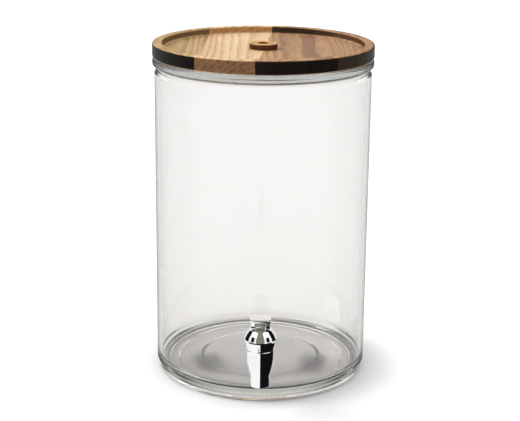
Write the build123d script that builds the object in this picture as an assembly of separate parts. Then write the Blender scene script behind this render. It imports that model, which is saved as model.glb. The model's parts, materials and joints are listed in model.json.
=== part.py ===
from build123d import *
import os
from math import cos, radians, sin, sqrt, tan

os.makedirs("parts", exist_ok=True)

# Countertop water dispenser: a glass jar, a turned wooden lid and a sprung lever tap.
# Millimetres. Origin at the centre of the jar's foot, +Z up, the tap on the -Y side.

# ---- driving dimensions ----

TOTAL_H = 346.0            # foot to the top of the lid's rim
GAP = 0.3                  # clearance between bodies that move past each other

# glass jar
JAR_R = 110.5
JAR_WALL = 4.5
FOOT_R = 107.5
FOOT_H = 7.4
FOOT_INNER_R = 98.0
FLOOR_TOP_Z = 10.0
BEAD_R = 112.6
BEAD_H = 7.6
NECK_R = 108.6
NECK_H = 4.0
SHOULDER_H = 3.6
MOUTH_R = 105.0

# lid
LID_R = 112.5
LID_SIDE_H = 14.0
LID_RIM_W = 10.0
LID_RECESS_H = 7.0
PLUG_R = 101.0
PLUG_H = 6.6
GASKET_T = 0.8
GASKET_R = 109.0
FIN_R = MOUTH_R - GAP
SEAM_XS = ((-66.4, -56.6), (-8.0, 10.2), (71.0, 73.0))   # each stave seam's X at front and back

# knob
KNOB_R = 14.3
KNOB_H = 6.0
KNOB_HOLE_R = 6.3
KNOB_FLOOR_T = 2.4
SCREW_R = 2.0
SCREW_HEAD_R = 4.6

# tap
TAP_Y = -138.0             # the barrel's axis
SHANK_Z = 57.0
SHANK_R = 8.0
SHANK_BORE_R = 5.2
SHANK_END_Y = -87.0
THREAD_PITCH = 1.5
THREAD_DEPTH = 0.6
GLASS_HOLE_R = 8.6
FLANGE_R = 12.4
WASHER_T = 2.6
FLAT_WASHER_T = 1.5
NUT_T = 6.0
NUT_ACROSS_FLATS = 24.0
SPOUT_END_Z = 30.8
SPOUT_R = 9.2
SPOUT_BORE_R = 6.2
CHAMBER_R = 9.6
COLLAR_LOW_Z = 69.8
COLLAR_LOW_R = 13.9
SHOULDER_R = 13.6
BONNET_RIM_Z = 79.4
BONNET_RIM_R = 16.0
BONNET_TOP_Z = 89.8
BONNET_TOP_R = 10.4
DOME_MID_R = 13.35
DOME_MID_Z = 85.3
NECK_TOP_Z = 76.0
BARREL_NECK_R = 11.6
NOTCH_W = 2.0
NOTCH_H = 5.0
NOTCH_TURN = -3.5          # degrees round the barrel from straight forwards

# valve
SEAT_LOW_Z = 43.0
SEAT_ANGLE = 35.0          # degrees between the seat's cone and the barrel's axis
CUP_LOW_Z = 44.2
CUP_TOP_Z = 48.8
STEM_R = 2.5
STEM_FIT = 0.08
SEAL_R = 4.6
SEAL_T = 2.4
SPRING_R = 5.6
SPRING_WIRE_R = 0.55
SPRING_TURNS = 8
SPRING_LOW_Z = 51.0
SPRING_TOP_Z = 82.0
SPRING_WELL_R = 8.0
SPRING_WASHER_T = 1.0

# lever
LEVER_TILT = 55.0          # degrees from upright to fully forwards
STEM_LIFT = 3.6            # rise of the stem over the lever's whole tilt
PIN_Z = 94.4
PIN_R = 1.25
PIN_FIT = 0.05
HEAD_BLOCK_W = 9.6
HEAD_BLOCK_D = 7.4
CHEEK_T = 4.0
PAD_W = 20.2
PAD_Z = 98.4
PAD_FRONT_T = 2.6
PAD_BACK_T = 3.6
PAD_FRONT_Y = -9.3         # from the pin
PAD_BACK_Y = 6.8
CHEEK_BACK_Y = 4.2
WEB_T = 2.0
WEB_H = 3.6

# ---- derived dimensions ----

JAR_INNER_R = JAR_R - JAR_WALL
LID_BOTTOM_Z = TOTAL_H - LID_SIDE_H
RIM_Z = LID_BOTTOM_Z - GASKET_T - GAP
RECESS_Z = TOTAL_H - LID_RECESS_H
PLUG_Z = LID_BOTTOM_Z - PLUG_H
CAM_RATE = STEM_LIFT / radians(LEVER_TILT)
CAM_REST = PIN_Z - BONNET_TOP_Z - GAP
CHEEK_INNER_X = HEAD_BLOCK_W / 2 + GAP
CHEEK_OUTER_X = CHEEK_INNER_X + CHEEK_T


# ---- shared shapes ----

def turned(profile):
    """Solid turned about Z from (radius, height, corner radius) points."""
    corners = [(r, z) for r, z, _ in profile]
    rounds = [corner for _, _, corner in profile]
    outline = make_face(FilletPolyline(*corners, radius=rounds, close=True))
    return revolve(Plane.XZ * outline, Axis.Z)


def ring(inner_r, outer_r, low_z, high_z):
    """Plain ring about Z."""
    height = high_z - low_z
    blank = Cylinder(outer_r, height) - Cylinder(inner_r, height)
    return Pos(0, 0, (low_z + high_z) / 2) * blank


def along_shank(shape):
    """Takes a shape made about +Z to the shank's axis, with +Z along +Y from the barrel's axis."""
    return Pos(0, TAP_Y, SHANK_Z) * Rot(-90, 0, 0) * shape


def shank_distance(y):
    """Distance from the barrel's axis to a place at height y along the shank."""
    return y - TAP_Y


def on_tap(shape):
    """Takes a shape made about Z to the barrel's axis."""
    return Pos(0, TAP_Y, 0) * shape


def jar_cylinder(radius):
    """Upright cylinder through the tap's height, to cut washers to the curve of the glass."""
    return Pos(0, 0, SHANK_Z) * Cylinder(radius, 60)


# ---- jar ----

def glass_jar():
    bead_low = RIM_Z - BEAD_H
    neck_low = bead_low - NECK_H
    shoulder_low = neck_low - SHOULDER_H
    outer = [
        (FOOT_R, 0, 1.6),
        (FOOT_R + 0.5, FOOT_H, 0.8),
        (JAR_R, FOOT_H + 2.6, 2.4),
        (JAR_R, shoulder_low, 3.0),
        (NECK_R, neck_low, 1.6),
        (NECK_R, bead_low - 0.6, 1.2),
        (BEAD_R, bead_low + 0.4, 2.6),
        (BEAD_R, RIM_Z, 3.0),
    ]
    inner = [
        (MOUTH_R, RIM_Z, 2.4),
        (MOUTH_R, shoulder_low + 2, 6.0),
        (JAR_INNER_R, shoulder_low - 12, 12.0),
        (JAR_INNER_R, FLOOR_TOP_Z, 9.0),
        (0, FLOOR_TOP_Z + 0.6, 0),
    ]
    underside = [
        (0, 5.4, 0),
        (60.5, 4.6, 6.0),
        (64.0, 3.0, 1.2),
        (86.0, 2.8, 1.0),
        (88.0, 1.9, 1.0),
        (FOOT_INNER_R - 1.5, 1.7, 0.8),
        (FOOT_INNER_R, 0, 1.0),
    ]
    jar = turned(outer + inner + underside)
    hole = along_shank(Pos(0, 0, shank_distance(-JAR_R)) * Cylinder(GLASS_HOLE_R, 40))
    return jar - hole


# ---- lid ----

def lid_blank():
    rim_inner_r = LID_R - LID_RIM_W
    blank = turned([
        (0, PLUG_Z, 0),
        (PLUG_R, PLUG_Z, 1.4),
        (PLUG_R, LID_BOTTOM_Z, 0),
        (LID_R, LID_BOTTOM_Z, 1.8),
        (LID_R, TOTAL_H, 1.8),
        (rim_inner_r, TOTAL_H, 1.4),
        (rim_inner_r - 0.6, RECESS_Z, 2.6),
        (0, RECESS_Z, 0),
    ])
    screw_hole = Pos(0, 0, RECESS_Z) * Cylinder(SCREW_R, 20)
    return blank - screw_hole


def stave_plan(front_left, front_right, back_left, back_right):
    """Upright block between two seams, each given by its X at the lid's front and back."""
    reach = LID_R + 5
    plan = make_face(Polyline(
        (front_left, -reach),
        (front_right, -reach),
        (back_right, reach),
        (back_left, reach),
        close=True,
    ))
    return extrude(Pos(0, 0, PLUG_Z - 5) * plan, TOTAL_H - PLUG_Z + 10)


def lid_staves():
    """The lid's boards, from left to right."""
    edge = LID_R + 5
    seams = [(-edge, -edge), *SEAM_XS, (edge, edge)]
    blank = lid_blank()
    staves = {}
    for number in range(1, len(seams)):
        front_left, back_left = seams[number - 1]
        front_right, back_right = seams[number]
        plan = stave_plan(front_left, front_right, back_left, back_right)
        staves[f"lid_stave_{number}"] = blank & plan
    return staves


def lid_gasket():
    """Flange between wood and glass, a band round the plug, and two thin sealing fins."""
    flange_z = LID_BOTTOM_Z - GASKET_T
    band_r = PLUG_R + 1.2
    gasket = ring(PLUG_R, GASKET_R, flange_z, LID_BOTTOM_Z)
    gasket += ring(PLUG_R, band_r, PLUG_Z + 1.6, LID_BOTTOM_Z)
    for fin_z in (PLUG_Z + 2.0, PLUG_Z + 4.0):
        gasket += turned([
            (band_r - 0.2, fin_z - 0.45, 0),
            (FIN_R, fin_z + 0.15, 0),
            (FIN_R, fin_z + 0.45, 0),
            (band_r - 0.2, fin_z + 0.45, 0),
        ])
    return gasket


def lid_knob():
    top = RECESS_Z + KNOB_H
    floor = RECESS_Z + KNOB_FLOOR_T
    knob = turned([
        (SCREW_R, RECESS_Z, 0),
        (KNOB_R - 0.5, RECESS_Z, 0.4),
        (KNOB_R, RECESS_Z + 1.6, 1.5),
        (KNOB_R, top, 1.5),
        (KNOB_HOLE_R, top, 0.9),
        (KNOB_HOLE_R, floor, 0.5),
        (SCREW_R, floor, 0),
    ])
    return knob


def knob_screw():
    """Pan-head screw with a cross recess."""
    seat = RECESS_Z + KNOB_FLOOR_T
    head = turned([
        (0, seat, 0),
        (SCREW_HEAD_R, seat, 0.3),
        (SCREW_HEAD_R, seat + 1.9, 1.2),
        (0, seat + 2.3, 0),
    ])
    tip = RECESS_Z - 10.0
    shank = turned([
        (0, tip, 0),
        (SCREW_R - 0.5, tip, 0),
        (SCREW_R, tip + 1.5, 0),
        (SCREW_R, seat + 0.1, 0),
        (0, seat + 0.1, 0),
    ])
    slot = Pos(0, 0, seat + 2.3) * Box(4.6, 0.9, 2.2)
    return head + shank - slot - Rot(0, 0, 90) * slot


# ---- tap, fixed pieces ----

def barrel_outline():
    """Half section of the vase-shaped barrel, from the spout's lip to the open top of its neck."""
    lip_r = SPOUT_R + 0.3
    lip_top = SPOUT_END_Z + 3.0
    waist = (SPOUT_R + 0.2, 41.0)
    shoulder = (SHOULDER_R, COLLAR_LOW_Z - 0.3)
    seat_top_z = SEAT_LOW_Z + (CHAMBER_R - SPOUT_BORE_R) / tan(radians(SEAT_ANGLE))
    vase = Spline(
        waist, (11.6, 48.5), (13.1, 55.8), (13.6, 62.0), shoulder,
        tangents=((0.03, 1), (-0.02, 1)),
    )
    lip = Polyline(
        (SPOUT_BORE_R, SPOUT_END_Z), (lip_r - 0.8, SPOUT_END_Z), (lip_r, SPOUT_END_Z + 0.8),
        (lip_r, lip_top - 0.7), (SPOUT_R, lip_top), waist,
    )
    neck_and_bore = Polyline(
        shoulder, (BARREL_NECK_R, COLLAR_LOW_Z - 0.3), (BARREL_NECK_R, NECK_TOP_Z),
        (CHAMBER_R, NECK_TOP_Z), (CHAMBER_R, seat_top_z), (SPOUT_BORE_R, SEAT_LOW_Z),
        (SPOUT_BORE_R, SPOUT_END_Z),
    )
    return make_face(lip + vase + neck_and_bore)


def thread_ridges(start, end):
    """Zigzag half section of the shank's thread, as ridges a pitch apart."""
    count = round((end - start) / THREAD_PITCH)
    points = []
    for turn in range(count):
        root = start + turn * THREAD_PITCH
        points.append((SHANK_R - THREAD_DEPTH, root))
        points.append((SHANK_R, root + THREAD_PITCH / 2))
    return points


def tap_body():
    barrel = on_tap(revolve(Plane.XZ * barrel_outline(), Axis.Z))
    glass_side = shank_distance(-JAR_R)
    flange_face = glass_side - WASHER_T
    thread_start = glass_side + 1.0
    shank_end = shank_distance(SHANK_END_Y)
    outline = [(SHANK_BORE_R, 0), (SHANK_R, 0), (SHANK_R, flange_face - 4.2)]
    outline += [(FLANGE_R - 0.8, flange_face - 3.2), (FLANGE_R, flange_face - 2.4)]
    outline += [(FLANGE_R, flange_face), (SHANK_R, flange_face), (SHANK_R, thread_start - 0.8)]
    outline += thread_ridges(thread_start, shank_end - 0.5)
    outline += [(SHANK_R - THREAD_DEPTH, shank_end), (SHANK_BORE_R, shank_end)]
    shank = revolve(Plane.XZ * make_face(Polyline(*outline, close=True)), Axis.Z)
    body = barrel + along_shank(shank)
    # the chamber and the inlet are cleared again where the shank runs into the barrel
    chamber_low = SHANK_Z - SHANK_R - 0.1
    chamber_h = NECK_TOP_Z - chamber_low
    chamber = on_tap(Pos(0, 0, chamber_low + chamber_h / 2) * Cylinder(CHAMBER_R, chamber_h))
    inlet = along_shank(Pos(0, 0, shank_end / 2) * Cylinder(SHANK_BORE_R, shank_end))
    return body - chamber - inlet


def tap_bonnet():
    """Domed cap with a conical collar, a gland for the stem seal and a notch in the collar."""
    inner_r = BARREL_NECK_R + 0.05
    roof_z = NECK_TOP_Z + 0.1
    gland_low = SPRING_TOP_Z + SPRING_WASHER_T
    gland_top = gland_low + SEAL_T
    hole_r = STEM_R + STEM_FIT
    rim_edge = (BONNET_RIM_R - 0.7, BONNET_RIM_Z + 0.5)
    crown_edge = (BONNET_TOP_R, BONNET_TOP_Z - 0.3)
    collar = Polyline(
        (inner_r, COLLAR_LOW_Z), (COLLAR_LOW_R, COLLAR_LOW_Z),
        (BONNET_RIM_R - 0.2, BONNET_RIM_Z - 0.9), (BONNET_RIM_R, BONNET_RIM_Z - 0.5),
        (BONNET_RIM_R, BONNET_RIM_Z), rim_edge,
    )
    dome = ThreePointArc(rim_edge, (DOME_MID_R, DOME_MID_Z), crown_edge)
    inside = Polyline(
        crown_edge, (BONNET_TOP_R - 0.5, BONNET_TOP_Z), (hole_r, BONNET_TOP_Z),
        (hole_r, gland_top), (SEAL_R, gland_top), (SEAL_R, gland_low), (SPRING_WELL_R, gland_low),
        (SPRING_WELL_R, roof_z), (inner_r, roof_z), (inner_r, COLLAR_LOW_Z),
    )
    bonnet = on_tap(revolve(Plane.XZ * make_face(collar + dome + inside), Axis.Z))
    notch = Pos(0, -COLLAR_LOW_R, COLLAR_LOW_Z) * Box(NOTCH_W, 6.0, 2 * NOTCH_H)
    return bonnet - on_tap(Rot(0, 0, NOTCH_TURN) * notch)


def front_washer():
    """Silicone ring between the tap's flange and the curved glass."""
    flange_face = shank_distance(-JAR_R) - WASHER_T
    blank = along_shank(ring(SHANK_R + 0.05, FLANGE_R - 0.4, flange_face, flange_face + 8))
    return blank - jar_cylinder(JAR_R)


def rear_washer():
    """Silicone ring against the inside of the glass, flat on the nut's side."""
    inner_face = shank_distance(-JAR_INNER_R)
    blank = along_shank(ring(SHANK_R + 0.05, FLANGE_R, inner_face - 2, inner_face + WASHER_T))
    return blank & jar_cylinder(JAR_INNER_R)


def flat_washer():
    low = shank_distance(-JAR_INNER_R) + WASHER_T
    return along_shank(ring(SHANK_R + 0.05, FLANGE_R + 0.4, low, low + FLAT_WASHER_T))


def shank_nut():
    """Hexagonal nut with its corners turned off on both faces."""
    low = shank_distance(-JAR_INNER_R) + WASHER_T + FLAT_WASHER_T
    corner_r = NUT_ACROSS_FLATS / sqrt(3)
    flat_r = NUT_ACROSS_FLATS / 2
    hexagon = extrude(RegularPolygon(corner_r, 6), NUT_T)
    chamfer_h = (corner_r - flat_r) * tan(radians(30))
    cone = turned([
        (SHANK_R + 0.05, 0, 0),
        (flat_r, 0, 0),
        (corner_r, chamfer_h, 0),
        (corner_r, NUT_T - chamfer_h, 0),
        (flat_r, NUT_T, 0),
        (SHANK_R + 0.05, NUT_T, 0),
    ])
    return along_shank(Pos(0, 0, low) * (hexagon & cone))


# ---- valve ----

def seat_cone_r(z):
    """Radius of the barrel's conical seat at height z."""
    return SPOUT_BORE_R + (z - SEAT_LOW_Z) * tan(radians(SEAT_ANGLE))


def valve_seat_cup():
    """Silicone cone that closes the seat, held on the stem's foot between two collars."""
    side_gap = GAP / cos(radians(SEAT_ANGLE))
    shoulder_z = CUP_LOW_Z + 3.4
    shoulder_r = seat_cone_r(shoulder_z) - side_gap
    cup = turned([
        (STEM_R, CUP_LOW_Z, 0),
        (seat_cone_r(CUP_LOW_Z) - side_gap, CUP_LOW_Z, 0.3),
        (shoulder_r, shoulder_z, 0.6),
        (shoulder_r - 0.4, CUP_TOP_Z, 0.4),
        (STEM_R, CUP_TOP_Z, 0),
    ])
    return on_tap(cup)


def valve_stem():
    """Turned rod with two collars round the seat cup and the cross-drilled block on its top."""
    rod_top = BONNET_TOP_Z + 1.2
    rod = turned([
        (0, SEAT_LOW_Z + 0.2, 0),
        (STEM_R + 1.0, SEAT_LOW_Z + 0.2, 0.3),
        (STEM_R + 1.4, CUP_LOW_Z, 0),
        (STEM_R, CUP_LOW_Z, 0),
        (STEM_R, CUP_TOP_Z, 0),
        (SPRING_R + 0.8, CUP_TOP_Z, 0.3),
        (SPRING_R + 0.8, SPRING_LOW_Z, 0.3),
        (STEM_R, SPRING_LOW_Z, 0),
        (STEM_R, rod_top, 0),
        (0, rod_top, 0),
    ])
    crown_r = HEAD_BLOCK_D / 2
    foot_z = BONNET_TOP_Z + GAP
    side = Pos(0, PIN_Z) * Circle(crown_r)
    side += Pos(0, (PIN_Z + foot_z) / 2) * Rectangle(HEAD_BLOCK_D, PIN_Z - foot_z)
    block = extrude(Plane.YZ * side, HEAD_BLOCK_W / 2, both=True)
    front = Pos(0, (foot_z + PIN_Z + crown_r) / 2) * RectangleRounded(
        HEAD_BLOCK_W, PIN_Z + crown_r - foot_z, 1.8)
    block &= extrude(Plane.XZ * front, HEAD_BLOCK_D, both=True)
    hole = Pos(0, 0, PIN_Z) * Rot(0, 90, 0) * Cylinder(PIN_R, HEAD_BLOCK_W + 2)
    return on_tap(rod + block - hole)


def stem_spring():
    """Compression spring round the stem, between the stem's collar and the spring washer."""
    pitch = (SPRING_TOP_Z - SPRING_LOW_Z - 2 * SPRING_WIRE_R) / SPRING_TURNS
    start_z = SPRING_LOW_Z + SPRING_WIRE_R
    path = Helix(pitch, pitch * SPRING_TURNS, SPRING_R - SPRING_WIRE_R)
    section = Plane(path @ 0, z_dir=path % 0) * Circle(SPRING_WIRE_R)
    wire = sweep(section, path, is_frenet=True)
    return on_tap(Pos(0, 0, start_z) * wire)


def spring_washer():
    low = SPRING_TOP_Z
    return on_tap(ring(STEM_R + STEM_FIT, SPRING_WELL_R - 0.1, low, low + SPRING_WASHER_T))


def stem_seal():
    low = SPRING_TOP_Z + SPRING_WASHER_T
    return on_tap(ring(STEM_R + STEM_FIT, SEAL_R, low, low + SEAL_T))


# ---- lever ----

def cam_point(angle):
    """Foot's outline from the pin: an involute, whose reach below the pin grows evenly with tilt."""
    reach = CAM_REST + CAM_RATE * angle
    forwards = reach * sin(angle) + CAM_RATE * cos(angle)
    down = reach * cos(angle) - CAM_RATE * sin(angle)
    return (-forwards, -down)


def cheek_outline():
    """Side view of a cheek, from the pin, with the cam along its lower front."""
    steps = 8
    tilt = radians(LEVER_TILT)
    cam_points = [cam_point(tilt * step / steps) for step in range(steps + 1)]
    cam_end = cam_points[-1]
    stop = (cam_end[0] - 0.8 * cos(tilt), cam_end[1] + 0.8 * sin(tilt))
    top = PAD_Z - PIN_Z + 0.5
    cam = Spline(*cam_points, tangents=((-1, 0), (-cos(tilt), sin(tilt))))
    rest = Polyline(
        cam_end, stop, (stop[0] + 0.3, stop[1] + 1.6), (stop[0] + 0.5, top),
        (CHEEK_BACK_Y - 0.6, top), (CHEEK_BACK_Y, -CAM_REST + 1.4), (CHEEK_BACK_Y - 1.0, -CAM_REST),
        cam_points[0],
    )
    return make_face(cam + rest)


def thumb_pad():
    """Pad that rises slightly to its back, with round corners and a soft top edge."""
    low = PAD_Z - PIN_Z
    side = make_face(Polyline(
        (PAD_FRONT_Y, low), (PAD_FRONT_Y, low + PAD_FRONT_T),
        (PAD_BACK_Y, low + PAD_BACK_T), (PAD_BACK_Y, low), close=True,
    ))
    middle_y = (PAD_FRONT_Y + PAD_BACK_Y) / 2
    plan = Pos(0, middle_y) * RectangleRounded(PAD_W, PAD_BACK_Y - PAD_FRONT_Y, 4.2)
    pad = extrude(Plane.YZ * side, PAD_W, both=True) & extrude(Pos(0, 0, low) * plan, 2 * PAD_BACK_T)
    top_face = pad.faces().sort_by(Axis.Z)[-1]
    return fillet(top_face.edges(), 1.0)


def tap_lever():
    """Thumb pad on two cheeks that straddle the stem's block, with a web across their front."""
    cheek = extrude(Plane.YZ * cheek_outline(), CHEEK_T)
    lever = Pos(CHEEK_INNER_X, 0, 0) * cheek + Pos(-CHEEK_OUTER_X, 0, 0) * cheek
    web_y = PAD_FRONT_Y + 0.6 + WEB_T / 2
    web_z = PAD_Z - PIN_Z - WEB_H / 2 + 0.2
    web = Pos(0, web_y, web_z) * Box(2 * CHEEK_INNER_X + 0.4, WEB_T, WEB_H)
    slot = Rot(0, 90, 0) * Cylinder(HEAD_BLOCK_D / 2 + GAP, 2 * CHEEK_INNER_X)
    pin_hole = Rot(0, 90, 0) * Cylinder(PIN_R + PIN_FIT, PAD_W)
    return Pos(0, TAP_Y, PIN_Z) * (lever + web + thumb_pad() - slot - pin_hole)


def lever_pin():
    pin = Rot(0, 90, 0) * Cylinder(PIN_R, 2 * CHEEK_OUTER_X)
    return Pos(0, TAP_Y, PIN_Z) * pin


def main():
    pieces = {"glass_jar": glass_jar()}
    pieces.update(lid_staves())
    for make in (
        lid_gasket, lid_knob, knob_screw,
        tap_body, tap_bonnet, front_washer, rear_washer, flat_washer, shank_nut,
        valve_seat_cup, valve_stem, stem_spring, spring_washer, stem_seal,
        tap_lever, lever_pin,
    ):
        pieces[make.__name__] = make()
    for name, shape in pieces.items():
        export_step(shape, f"parts/{name}.step")


main()
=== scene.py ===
"""Countertop water dispenser: its pieces, materials and studio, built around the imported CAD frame."""
import functools
import json
import math

import bmesh
import bpy
import numpy as np
from bpy.props import FloatProperty, FloatVectorProperty, PointerProperty
from mathutils import Matrix, Vector


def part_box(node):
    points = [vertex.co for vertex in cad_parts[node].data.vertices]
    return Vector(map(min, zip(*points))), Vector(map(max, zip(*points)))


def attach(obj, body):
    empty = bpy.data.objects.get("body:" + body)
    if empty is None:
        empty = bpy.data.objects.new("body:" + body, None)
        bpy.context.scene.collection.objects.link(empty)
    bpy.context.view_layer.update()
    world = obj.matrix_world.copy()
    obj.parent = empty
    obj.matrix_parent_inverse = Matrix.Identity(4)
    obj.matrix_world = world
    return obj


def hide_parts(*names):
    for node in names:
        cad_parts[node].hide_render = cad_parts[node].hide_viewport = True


bl_info = {
    "name": "Water dispenser",
    "version": (1, 0, 0),
    "blender": (4, 5, 0),
    "location": "3D View > Sidebar > Dispenser",
    "description": "Builds a glass drink jar with a turned wooden lid and a sprung lever tap",
    "category": "Object",
}

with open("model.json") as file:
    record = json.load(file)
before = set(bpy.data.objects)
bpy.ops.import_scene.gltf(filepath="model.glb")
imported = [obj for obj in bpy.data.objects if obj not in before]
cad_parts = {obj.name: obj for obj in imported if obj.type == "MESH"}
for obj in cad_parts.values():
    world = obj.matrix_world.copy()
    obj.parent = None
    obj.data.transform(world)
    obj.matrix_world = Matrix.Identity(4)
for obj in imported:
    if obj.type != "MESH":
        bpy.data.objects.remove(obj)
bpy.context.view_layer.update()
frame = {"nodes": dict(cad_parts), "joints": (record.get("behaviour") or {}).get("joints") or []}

MM = 0.001
JAR_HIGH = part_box("glass_jar")[1]
LID_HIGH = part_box("lid_stave_2")[1]
PLUG_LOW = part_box("lid_stave_2")[0].z
SPOUT_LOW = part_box("tap_body")[0].z
SHANK_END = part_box("tap_body")[1].y
BONNET_LOW, BONNET_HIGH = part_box("tap_bonnet")
PIN = Vector(next(j["pos_m"] for j in frame["joints"] if j["name"] == "lever_tilt"))
TAP_Y = PIN.y
SHANK_Z = 57 * MM

# sizes in millimetres that pieces of the valve share
WASHER_T = 2.6
SHANK_BORE = 5.2
NECK_R = 11.6
NECK_TOP = 76.0
CHAMBER_R = 9.6
SEAT_Z = 43.0
SEAT_TURN = math.radians(35)
STEM_R = 2.5
PIN_R = 1.25


# ---- sizes and colours that a user would change ----

def length(name, description, default):
    return FloatProperty(name=name, description=description, default=default, min=0, unit="LENGTH")


def colour(name, description, default):
    return FloatVectorProperty(
        name=name, description=description, default=default, size=3, subtype="COLOR", min=0, max=1)


class JarSettings(bpy.types.PropertyGroup):
    radius: length("Radius", "Outside of the glass wall", JAR_HIGH.x - 2.1 * MM)
    wall: length("Wall", "Thickness of the glass wall", 4.5 * MM)
    rim_z: length("Rim height", "Top of the glass", JAR_HIGH.z)
    bead_radius: length("Bead radius", "Outside of the rolled rim", JAR_HIGH.x)
    hole_radius: length("Tap hole radius", "Hole in the wall for the tap's shank", 8.6 * MM)


class LidSettings(bpy.types.PropertyGroup):
    radius: length("Radius", "Outside of the lid", 112.5 * MM)
    top_z: length("Top height", "Top of the lid's rim", LID_HIGH.z)
    side_height: length("Side height", "Height of the lid's side", 14 * MM)
    rim_width: length("Rim width", "Width of the raised rim", 10 * MM)
    recess: length("Recess depth", "Depth of the recess inside the rim", 7 * MM)
    plug_radius: length("Plug radius", "Outside of the plug under the lid", 101 * MM)
    knob_radius: length("Knob radius", "Outside of the knob", 14.3 * MM)
    knob_height: length("Knob height", "Height of the knob over the recess", 6 * MM)
    knob_hole: length("Knob hole radius", "Hole in the knob for the screw's head", 6.3 * MM)


class TapSettings(bpy.types.PropertyGroup):
    spout_radius: length("Spout radius", "Outside of the spout", 9.2 * MM)
    bore_radius: length("Spout bore radius", "Inside of the spout", 6.2 * MM)
    shoulder_radius: length("Shoulder radius", "Barrel under the bonnet", 13.6 * MM)
    bonnet_radius: length("Bonnet radius", "Rim of the bonnet", BONNET_HIGH.x)
    crown_radius: length("Crown radius", "Flat top of the bonnet", 10.4 * MM)
    shank_radius: length("Shank radius", "Threaded shank through the glass", 8 * MM)
    flange_radius: length("Flange radius", "Flange outside the glass", 12.4 * MM)
    pad_width: length("Thumb pad width", "Width of the lever's pad", 20.2 * MM)


class FinishSettings(bpy.types.PropertyGroup):
    timber_light: colour("Light timber", "Early wood of the light boards", (0.60, 0.36, 0.16))
    timber_dark: colour("Dark timber", "Late wood of the dark boards", (0.20, 0.095, 0.042))
    chrome: colour("Chrome", "Plated surfaces", (0.93, 0.93, 0.94))
    steel: colour("Steel", "Turned steel", (0.62, 0.62, 0.61))
    silicone: colour("Silicone", "Translucent seals", (0.40, 0.405, 0.39))
    rubber: colour("Seal rubber", "Dark seal ring", (0.03, 0.03, 0.032))


GROUPS = {
    "dispenser_jar": JarSettings,
    "dispenser_lid": LidSettings,
    "dispenser_tap": TapSettings,
    "dispenser_finish": FinishSettings,
}


# ---- outlines and surfaces ----

def unit(vector):
    return vector / np.linalg.norm(vector)


def rounded(corners, closed=True, steps=6):
    """Outline through (r, h, corner radius) corners in millimetres, returned in metres.

    Each corner is a circular arc tangent to its two sides: its ends lie radius / tan(half the inside
    angle) from the corner, and a point beyond each end keeps the flat sides flat in the shading.
    """
    points = np.array([(r, h) for r, h, _ in corners], float)
    outline = []
    for index, (_, _, radius) in enumerate(corners):
        here = points[index]
        at_end = not closed and index in (0, len(corners) - 1)
        if radius <= 0 or at_end:
            outline.append(here[None])
            continue
        back = unit(points[index - 1] - here)
        ahead = unit(points[(index + 1) % len(points)] - here)
        half = math.acos(np.clip(back @ ahead, -1, 1)) / 2
        setback = radius / math.tan(half)
        centre = here + unit(back + ahead) * radius / math.sin(half)
        turn = math.pi - 2 * half
        t = np.linspace(0, 1, steps + 1)[:, None]
        start = here + back * setback - centre
        end = here + ahead * setback - centre
        arc = centre + (np.sin((1 - t) * turn) * start + np.sin(t * turn) * end) / math.sin(turn)
        margin = 0.12 * radius
        outline += [(here + back * (setback + margin))[None], arc, (here + ahead * (setback + margin))[None]]
    return np.concatenate(outline) * MM


def smooth_curve(points, samples):
    """Catmull-Rom curve through points: a cubic on each span, its end slopes half the neighbours' chord."""
    p = np.array(points, float)
    p = np.vstack([2 * p[0] - p[1], p, 2 * p[-1] - p[-2]])
    u = np.linspace(0, len(points) - 1, samples)
    i = np.minimum(u.astype(int), len(points) - 2)
    t = (u - i)[:, None]
    a, b, c, d = p[i], p[i + 1], p[i + 2], p[i + 3]
    return 0.5 * (2 * b + (c - a) * t + (2 * a - 5 * b + 4 * c - d) * t**2 + (3 * b - a - 3 * c + d) * t**3)


def corner_list(points):
    return [(r, h, 0) for r, h in points]


def grid_faces(rows, columns, wrap_rows=True, keep=None):
    """Quads of a grid whose columns wrap round, and whose rows wrap too on a closed outline."""
    i, j = np.meshgrid(np.arange(rows - (not wrap_rows)), np.arange(columns), indexing="ij")
    down, right = (i + 1) % rows, (j + 1) % columns
    quads = np.stack(
        [i * columns + j, i * columns + right, down * columns + right, down * columns + j], axis=-1)
    quads = quads.reshape(-1, 4)
    return quads if keep is None else quads[keep.ravel()]


def turned(outline, segments=128):
    """Surface of revolution: (r, h) goes to (r sin a, -r cos a, h), with a from 0 at the front."""
    a = np.arange(segments) * 2 * math.pi / segments
    r, h = outline[:, :1], outline[:, 1:]
    points = np.stack([r * np.sin(a), -r * np.cos(a), h + 0 * a], axis=-1)
    return points.reshape(-1, 3), grid_faces(len(outline), segments)


def along_shank(points):
    """Takes points made about +Z to the shank's axis, with +Z along +Y from the barrel's axis."""
    return np.stack([points[:, 0], points[:, 2] + TAP_Y, SHANK_Z - points[:, 1]], axis=-1)


def across_pin(corners, segments):
    """Rod turned about the lever's pin, from corners whose heights run along +X."""
    points, faces = turned(rounded(corners), segments)
    return np.stack([points[:, 2], points[:, 0] + TAP_Y, points[:, 1] + PIN.z], axis=-1), faces


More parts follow.
